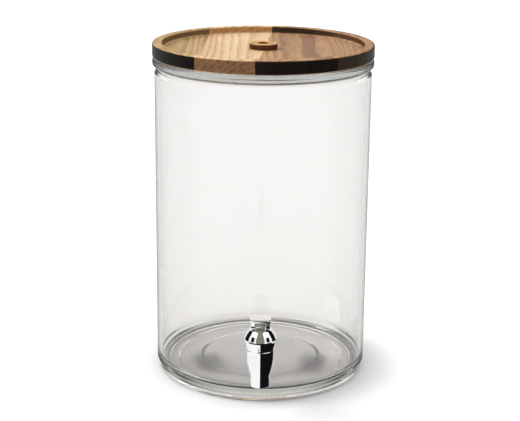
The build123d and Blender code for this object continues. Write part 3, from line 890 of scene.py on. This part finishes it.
class DISPENSER_OT_fastening(bpy.types.Operator):
    """Washers each side of the glass and the hexagonal nut inside the jar"""
    bl_idname = "dispenser.fastening"
    bl_label = "Washers and nut"

    def fitted_washer(self, name, inner, outer, flat_y, radius, side):
        """Ring with one flat face and one face on the jar's cylinder, y = -sqrt(radius^2 - x^2)."""
        r = np.array([inner, outer - 0.3, outer, outer])[:, None] * MM
        a = np.arange(96) * 2 * math.pi / 96
        x, z = r * np.sin(a), r * np.cos(a)
        curved = -np.sqrt(radius**2 - x**2)
        flat = np.full_like(x, flat_y)
        flat[3] += side * 0.3 * MM
        flat = flat[[0, 1, 3]]
        rows = np.stack([
            np.concatenate([x[[0, 1, 3]], x[::-1][1:]]), np.concatenate([flat, curved[::-1][1:]]),
            np.concatenate([z[[0, 1, 3]], z[::-1][1:]]) + SHANK_Z], axis=-1)
        return piece_from(name, [(rows.reshape(-1, 3), grid_faces(rows.shape[0], rows.shape[1]))])

    def hexagon(self, low, high, flats, bore):
        """Nut: the radius is the lesser of the hexagon's, flats / 2 / cos, and the corner cone's."""
        flat, corner = flats / 2, flats / math.sqrt(3)
        a = np.arange(180) * 2 * math.pi / 180
        across = flat / np.cos((a + math.pi / 6) % (math.pi / 3) - math.pi / 6)
        slope = math.tan(math.radians(30))
        z = np.concatenate([np.linspace(0, 1.1, 8), np.linspace(high - low - 1.1, high - low, 8)])[:, None]
        edge = np.minimum(z, high - low - z)
        r = np.minimum(across, flat + edge / slope + 0 * a)
        z = z + 0 * a
        bore_r = np.full((2, 180), bore)
        r = np.concatenate([bore_r[:1], r, bore_r[:1]])
        z = np.concatenate([z[:1], z, z[-1:]]) + low
        points = np.stack([r * np.sin(a), -r * np.cos(a), z], axis=-1).reshape(-1, 3) * MM
        return along_shank(points), grid_faces(r.shape[0], 180)

    def execute(self, context):
        jar = context.scene.dispenser_jar
        size = context.scene.dispenser_tap
        bore, flange = size.shank_radius / MM + 0.05, size.flange_radius / MM
        inner, thick = jar.radius - jar.wall, WASHER_T * MM
        front = self.fitted_washer("outer_washer", bore, flange - 0.4, -jar.radius - thick, jar.radius, 1)
        settle(front, finish("clear_silicone"), "jar", "silicone", "front_washer")
        rear = self.fitted_washer("inner_washer", bore, flange, -inner + thick, inner, -1)
        settle(rear, finish("clear_silicone"), "jar", "silicone", "rear_washer")
        low = (-TAP_Y - inner) / MM + WASHER_T
        outline = rounded([(bore, low, 0), (flange + 0.4, low, 0.2), (flange + 0.4, low + 1.5, 0.4),
                           (bore, low + 1.5, 0.2)])
        points, faces = turned(outline, 96)
        washer = piece_from("steel_washer", [(along_shank(points), faces)])
        settle(washer, finish("turned_steel"), "jar", "steel", "flat_washer")
        nut = piece_from("hex_nut", [self.hexagon(low + 1.5, low + 7.5, 24.0, bore)], 24)
        settle(nut, finish("turned_steel"), "jar", "steel", "shank_nut")
        return {"FINISHED"}


class DISPENSER_OT_stem(bpy.types.Operator):
    """Valve stem with its collars and the rounded block between the lever's cheeks"""
    bl_idname = "dispenser.stem"
    bl_label = "Valve stem"

    def execute(self, context):
        pin = PIN.z / MM
        top = BONNET_HIGH.z / MM
        foot, cup_low, cup_top, collar, collar_top = 43.2, 44.2, 48.8, 6.4, 51
        rod = rounded([
            (0, foot, 0), (3.5, foot, 0.3), (3.9, cup_low, 0), (STEM_R, cup_low, 0), (STEM_R, cup_top, 0),
            (collar, cup_top, 0.3), (collar, collar_top, 0.3), (STEM_R, collar_top, 0),
            (STEM_R, top + 1.2, 0), (0, top + 1.2, 0)])
        points, faces = turned(rod, 96)
        stem = piece_from("stem", [(points + (0, TAP_Y, 0), faces)])
        half, head_low = 3.7, top + 0.3
        a = np.linspace(0, math.pi, 25)
        arch = [(half * math.cos(t), pin + half * math.sin(t), 0) for t in a]
        side = rounded(arch + [(-half, head_low, 0.4), (half, head_low, 0.4)]) + (TAP_Y, 0)
        head = piece_from("head", [layered(side, *soft_edges(-4.8 * MM, 4.8 * MM, 1.3 * MM), axis="x")])
        combined(stem, head, "UNION")
        hole = [(0, -9, 0), (PIN_R, -9, 0), (PIN_R, 9, 0), (0, 9, 0)]
        combined(stem, piece_from("drill", [across_pin(hole, 48)]), "DIFFERENCE")
        settle(stem, finish("chrome_plate"), "stem", "chrome", "valve_stem")
        return {"FINISHED"}


class DISPENSER_OT_lever(bpy.types.Operator):
    """Lever: a thumb pad on two cheeks with involute cam feet, joined by a web at the front"""
    bl_idname = "dispenser.lever"
    bl_label = "Tap lever"
    tilt = math.radians(55)
    lift = 3.6
    inner_face, outer_face = 5.1, 9.1

    def cheek(self):
        """Side view from the pin; the foot is an involute, its reach below the pin growing with tilt."""
        rest = (PIN.z - BONNET_HIGH.z) / MM - 0.3
        rate = self.lift / self.tilt
        a = np.linspace(0, self.tilt, 25)
        reach = rest + rate * a
        behind = reach * np.sin(a) + rate * np.cos(a)
        foot = np.stack([-behind, rate * np.sin(a) - reach * np.cos(a)], axis=-1)
        end = foot[-1] + 0.8 * np.array([-math.cos(self.tilt), math.sin(self.tilt)])
        top = 4.5
        corners = corner_list(foot) + [
            (end[0], end[1], 0), (end[0] + 0.3, end[1] + 1.6, 0.5), (end[0] + 0.5, top, 0), (3.6, top, 0),
            (4.2, -rest + 1.4, 0.3), (3.2, -rest, 0.3)]
        return rounded(corners[::-1], steps=3) + (TAP_Y, PIN.z)

    def pad(self, size):
        """Round-cornered slab whose top rises evenly to the back, with a softly rounded top edge."""
        front, back, low = -9.3, 6.8, 4.0
        half = size.pad_width / MM / 2
        corner = 4.2
        plan = [(-half, front, corner), (half, front, corner), (half, back, corner), (-half, back, corner)]
        plan = rounded(plan, steps=9)
        a = np.linspace(0, math.pi / 2, 7)
        insets = np.concatenate([[0.6, 0.4, 0.1, 0, 0], 1.1 * (1 - np.cos(a)), [1.3, 2.6]]) * MM
        share = np.concatenate([[0, 0, 0.06, 0.14, 0.5], 0.55 + 0.45 * np.sin(a), [1, 1]])
        points, faces = layered(plan, insets, share)
        rise = 2.6 + (points[:, 1] / MM - front) / (back - front)
        points[:, 2] = (low + rise * points[:, 2]) * MM
        return points + (0, TAP_Y, PIN.z), faces

    def execute(self, context):
        size = context.scene.dispenser_tap
        lever = piece_from("lever", [self.pad(size)])
        for low, high in ((self.inner_face, self.outer_face), (-self.outer_face, -self.inner_face)):
            cheek = layered(self.cheek(), *soft_edges(low * MM, high * MM, 0.45 * MM, 4), axis="x")
            combined(lever, piece_from("cheek", [cheek]), "UNION")
        front = rounded(corner_list([(-9.2, 0.6), (-6.7, 0.6), (-6.7, 4.2), (-8.1, 4.2)])) + (TAP_Y, PIN.z)
        half_web = (self.inner_face + 0.2) * MM
        web = layered(front, (0, 0), (-half_web, half_web), axis="x")
        combined(lever, piece_from("web", [web]), "UNION")
        for radius, reach in ((4.0, self.inner_face), (PIN_R + 0.05, 12.0)):
            tool = [(0, -reach, 0), (radius, -reach, 0), (radius, reach, 0), (0, reach, 0)]
            combined(lever, piece_from("cutter", [across_pin(tool, 96)]), "DIFFERENCE")
        settle(lever, finish("chrome_plate"), "lever", "chrome", "tap_lever")
        return {"FINISHED"}


class DISPENSER_OT_inner_parts(bpy.types.Operator):
    """Finishes of the pieces inside the valve, whose CAD shapes stay"""
    bl_idname = "dispenser.inner_parts"
    bl_label = "Inner parts"
    finishes = {
        "lever_pin": "turned_steel", "stem_spring": "turned_steel", "spring_washer": "turned_steel",
        "valve_seat_cup": "clear_silicone", "stem_seal": "seal_rubber",
    }

    def execute(self, context):
        for node, material in self.finishes.items():
            mesh = frame["nodes"][node].data
            mesh.materials.clear()
            mesh.materials.append(finish(material))
        return {"FINISHED"}


class DISPENSER_OT_studio(bpy.types.Operator):
    """Pale floor, studio surroundings, key light and the camera"""
    bl_idname = "dispenser.studio"
    bl_label = "Studio"
    clearance = 0.3 * MM

    def floor(self):
        """Disc of rings whose radius grows evenly by ratio."""
        rings, spokes = 24, 96
        r = np.geomspace(0.05, 12.0, rings)[:, None]
        a = np.arange(spokes) * 2 * math.pi / spokes
        points = np.stack([r * np.cos(a), r * np.sin(a), 0 * r * a - self.clearance], axis=-1).reshape(-1, 3)
        faces = grid_faces(rings, spokes, wrap_rows=False).tolist() + [list(range(spokes))]
        mesh = bpy.data.meshes.new("floor")
        mesh.from_pydata(points.tolist(), [], faces)
        floor = placed("floor", mesh)
        if mesh.polygons[0].normal.z < 0:
            mesh.flip_normals()
        mesh.materials.append(plain_finish(
            "paper_floor", clean=(0.88, 0.88, 0.88), worn=0.995, smooth=0.9, rough=1.0, scale=3.0, bump=0.0,
            Specular_IOR_Level=0.0))
        floor.visible_glossy = False

    def in_chrome(self, tree, flag, side, rise):
        """White walls with black cards. The ceiling is black beyond the jar and white at its sides.

        Walls and ceiling are olive on the camera's side, and so is the ceiling overhead.
        """
        def beyond(low, high):
            return spread(tree, side, math.radians(low), math.radians(high))

        def within(low, high):
            return fall(tree, side, math.radians(low), math.radians(high))

        def above(low, high):
            return spread(tree, rise, low, high)

        def below(low, high):
            return fall(tree, rise, low, high)

        olive = (0.24, 0.245, 0.20, 1.0)
        card = product(tree, flag, below(-0.24, -0.16))
        gaps = largest(tree, beyond(5, 8), below(0.20, 0.26))
        gaps = product(tree, gaps, within(84, 90), above(-0.12, -0.04))
        band = product(tree, beyond(92, 98), above(-0.19, -0.15), below(0.12, 0.17))
        spots = product(tree, beyond(104, 110), within(130, 136), above(0.08, 0.14))
        dark = largest(tree, card, band, gaps, spots, below(-0.985, -0.95))
        walls = mixed(tree, dark, grey(1.0), (0.006, 0.006, 0.007, 1.0))
        walls = mixed(tree, product(tree, beyond(144, 150), above(0.05, 0.10)), walls, olive)
        ceiling = mixed(tree, beyond(84, 90), grey(0.02), grey(1.5))
        ceiling = mixed(tree, beyond(142, 152), ceiling, olive)
        ceiling = mixed(tree, above(0.82, 0.88), ceiling, olive)
        return mixed(tree, above(0.46, 0.54), walls, ceiling)

    def surroundings(self):
        """White studio, which chrome, soft surfaces, glass and the camera each see in their own way.

        Turn is 0 straight behind the jar and grows to the right, and side is its size. A ray takes the
        colour of the last kind in the list at the end that it belongs to, and chrome's if it has none.
        """
        world = bpy.data.worlds.new("studio")
        bpy.context.scene.world = world
        world.use_nodes = True
        tree = world.node_tree
        x, y, rise = split(tree, coordinates(tree, "Generated"))
        turn = calc(tree, "ARCTAN2", x, y)
        side = size_of(tree, turn)
        flag = spread(tree, turn, math.radians(38), math.radians(42))
        soft_flag = product(tree, flag, fall(tree, rise, 0.04, 0.14))
        soft = mixed(tree, soft_flag, grey(1.15), grey(0.02))
        edges = product(tree, spread(tree, side, math.radians(4), math.radians(20)),
                        fall(tree, side, math.radians(85), math.radians(120)))
        in_glass = mixed(tree, edges, grey(0.80), grey(0.12))
        through = mixed(tree, spread(tree, rise, 0.05, 0.20), grey(1.05), (1.5, 1.45, 1.45, 1.0))
        through = mixed(tree, spread(tree, rise, 0.35, 0.75, 1.0, 0.25), grey(0.0), through)
        path = tree.nodes.new("ShaderNodeLightPath").outputs
        seen = self.in_chrome(tree, flag, side, rise)
        for ray, colour_seen in (("Is Diffuse Ray", soft), ("Is Singular Ray", in_glass),
                                 ("Is Transmission Ray", through), ("Is Camera Ray", grey(1.05))):
            seen = mixed(tree, path[ray], seen, colour_seen)
        tree.links.new(seen, tree.nodes["Background"].inputs["Color"])

    def light(self):
        key = bpy.data.lights.new("key", "SUN")
        key.energy = 1.9
        key.angle = math.radians(35)
        holder = placed("key", key)
        holder.visible_glossy = False
        holder.rotation_euler = Vector((1.50, -0.25, -1.0)).to_track_quat("-Z", "Y").to_euler()

    def camera(self):
        away, height, pitch, roll, yaw = 1.346872, 0.563306, 0.285407, 0.010297, -0.0013296
        level, drop = math.cos(pitch), math.sin(pitch)
        ahead = Vector((math.sin(yaw) * level, math.cos(yaw) * level, -drop))
        right = Vector((math.cos(yaw), -math.sin(yaw), 0))
        up = right.cross(ahead)
        x = right * math.cos(roll) + up * math.sin(roll)
        y = up * math.cos(roll) - right * math.sin(roll)
        lens = bpy.data.cameras.new("camera")
        lens.sensor_width = 36
        lens.sensor_fit = "HORIZONTAL"
        lens.lens = 92.69
        holder = placed("camera", lens)
        turn = Matrix((x, y, -ahead)).transposed().to_4x4()
        holder.matrix_world = Matrix.Translation((0, -away, height)) @ turn
        bpy.context.scene.camera = holder

    def execute(self, context):
        self.floor()
        self.surroundings()
        self.light()
        self.camera()
        context.scene.view_settings.view_transform = "Standard"
        return {"FINISHED"}


OPERATORS = (
    DISPENSER_OT_studio, DISPENSER_OT_jar, DISPENSER_OT_lid, DISPENSER_OT_knob, DISPENSER_OT_gasket,
    DISPENSER_OT_tap_body, DISPENSER_OT_bonnet, DISPENSER_OT_fastening, DISPENSER_OT_stem,
    DISPENSER_OT_lever, DISPENSER_OT_inner_parts,
)


class DISPENSER_PT_panel(bpy.types.Panel):
    """Sizes, colours and pieces of the dispenser"""
    bl_label = "Water dispenser"
    bl_idname = "DISPENSER_PT_panel"
    bl_space_type = "VIEW_3D"
    bl_region_type = "UI"
    bl_category = "Dispenser"

    def draw(self, context):
        for group_name in GROUPS:
            settings = getattr(context.scene, group_name)
            column = self.layout.column(align=True)
            for prop in settings.__annotations__:
                column.prop(settings, prop)
        for operator in OPERATORS:
            self.layout.operator(operator.bl_idname)


def register():
    for group_name, group in GROUPS.items():
        bpy.utils.register_class(group)
        setattr(bpy.types.Scene, group_name, PointerProperty(type=group))
    for item in (*OPERATORS, DISPENSER_PT_panel):
        bpy.utils.register_class(item)


def unregister():
    for item in (DISPENSER_PT_panel, *reversed(OPERATORS)):
        bpy.utils.unregister_class(item)
    for group_name, group in reversed(GROUPS.items()):
        delattr(bpy.types.Scene, group_name)
        bpy.utils.unregister_class(group)


def main():
    register()
    for operator in OPERATORS:
        getattr(bpy.ops.dispenser, operator.bl_idname.split(".")[1])()


if __name__ == "__main__":
    main()
